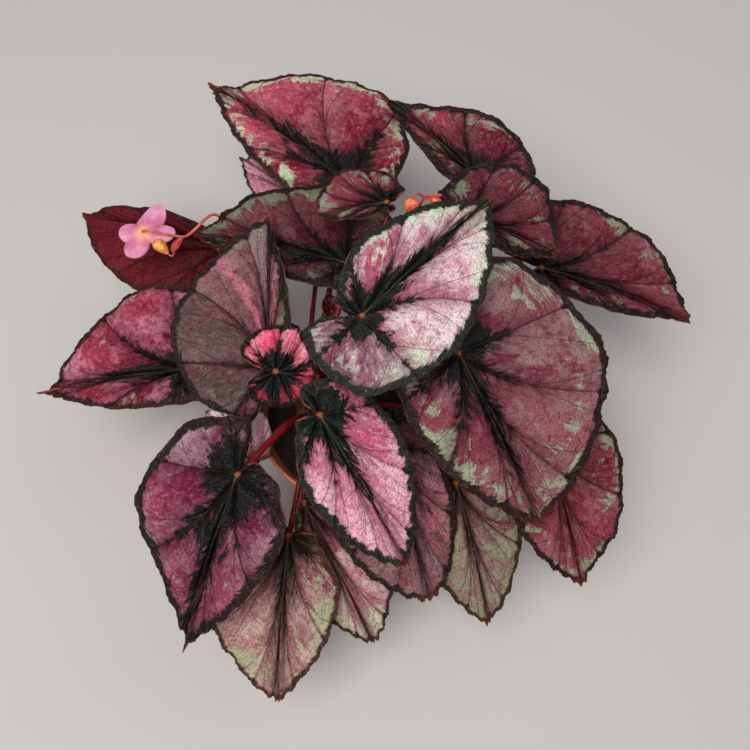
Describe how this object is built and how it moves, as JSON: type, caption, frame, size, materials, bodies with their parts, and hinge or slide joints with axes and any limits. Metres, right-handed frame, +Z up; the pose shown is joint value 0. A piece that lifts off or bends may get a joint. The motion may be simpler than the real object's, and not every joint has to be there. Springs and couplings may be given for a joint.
{
  "type": "potted rex begonia",
  "caption": "A rex begonia in an orange plastic pot, its long-stalked heart-shaped leaves spreading well past the rim, with a small pink flower.",
  "frame": {"origin": "centre of the pot's underside, where it stands", "axes": "x to the right and y towards the top of the picture, z up; the rim is centred on z"},
  "size_m": [0.4392, 0.4305, 0.2039],
  "materials": {
    "pot": "smooth salmon-orange moulded plastic, slightly satin, darker inside the lip",
    "soil": "near-black crumbly potting soil",
    "crown": "knobbly brown rootstock with dry scales",
    "stalk": "dark red succulent stalk with fine pale hairs",
    "tepal": "soft pink petal, paler at the middle",
    "stamen": "orange-yellow, finely grained",
    "bud": "orange-red waxy bud",
    "blade_silver": "pale silvery pink and mint panels with a dark green heart and margin",
    "blade_pink": "bright pink panels round a jagged dark green heart, dark toothed margin",
    "blade_rose": "greyish pink panels with a dark green heart and margin",
    "blade_burgundy": "burgundy panels with silvery sheen, mint blotches inside a dark toothed margin",
    "blade_magenta": "mottled magenta-burgundy panels with dark veins and margin",
    "blade_crimson": "bright red-pink young blade with dark serrated margin",
    "blade_olive": "olive and pink-brown panels with mint blotches and dark margin",
    "blade_wine": "plain wine red with faint darker veins"
  },
  "bodies": {
    "root": {"pot": "pot", "soil": "soil", "crown": "crown", "blade_top_left": "blade_burgundy", "blade_top_right": "blade_burgundy", "blade_right": "blade_burgundy", "blade_upper_right": "blade_burgundy", "blade_centre_silver": "blade_silver", "blade_right_large": "blade_burgundy", "blade_lower_right": "blade_burgundy", "blade_lower_olive": "blade_olive", "blade_lower_middle": "blade_rose", "blade_front_pink": "blade_pink", "blade_front_left": "blade_burgundy", "blade_bottom": "blade_olive", "blade_bottom_middle": "blade_rose", "blade_left": "blade_magenta", "blade_left_upper": "blade_rose", "blade_young_red": "blade_crimson", "blade_back_left": "blade_burgundy", "blade_small_top": "blade_burgundy", "blade_back_pink": "blade_pink", "blade_dark_red": "blade_wine", "blade_pale_small": "blade_silver", "blade_sprout": "blade_crimson", "stalk_top_left": "stalk", "stalk_top_right": "stalk", "stalk_right": "stalk", "stalk_upper_right": "stalk", "stalk_centre_silver": "stalk", "stalk_right_large": "stalk", "stalk_lower_right": "stalk", "stalk_lower_olive": "stalk", "stalk_lower_middle": "stalk", "stalk_front_pink": "stalk", "stalk_front_left": "stalk", "stalk_bottom": "stalk", "stalk_bottom_middle": "stalk", "stalk_left": "stalk", "stalk_left_upper": "stalk", "stalk_young_red": "stalk", "stalk_back_left": "stalk", "stalk_small_top": "stalk", "stalk_back_pink": "stalk", "stalk_dark_red": "stalk", "stalk_pale_small": "stalk", "stalk_sprout": "stalk", "flower_stalk": "stalk", "flower_tepals": "tepal", "flower_stamens": "stamen", "flower_bud": "stamen", "bud_stalk": "stalk", "bud_1": "bud", "bud_2": "bud"}
  },
  "joints": []
}
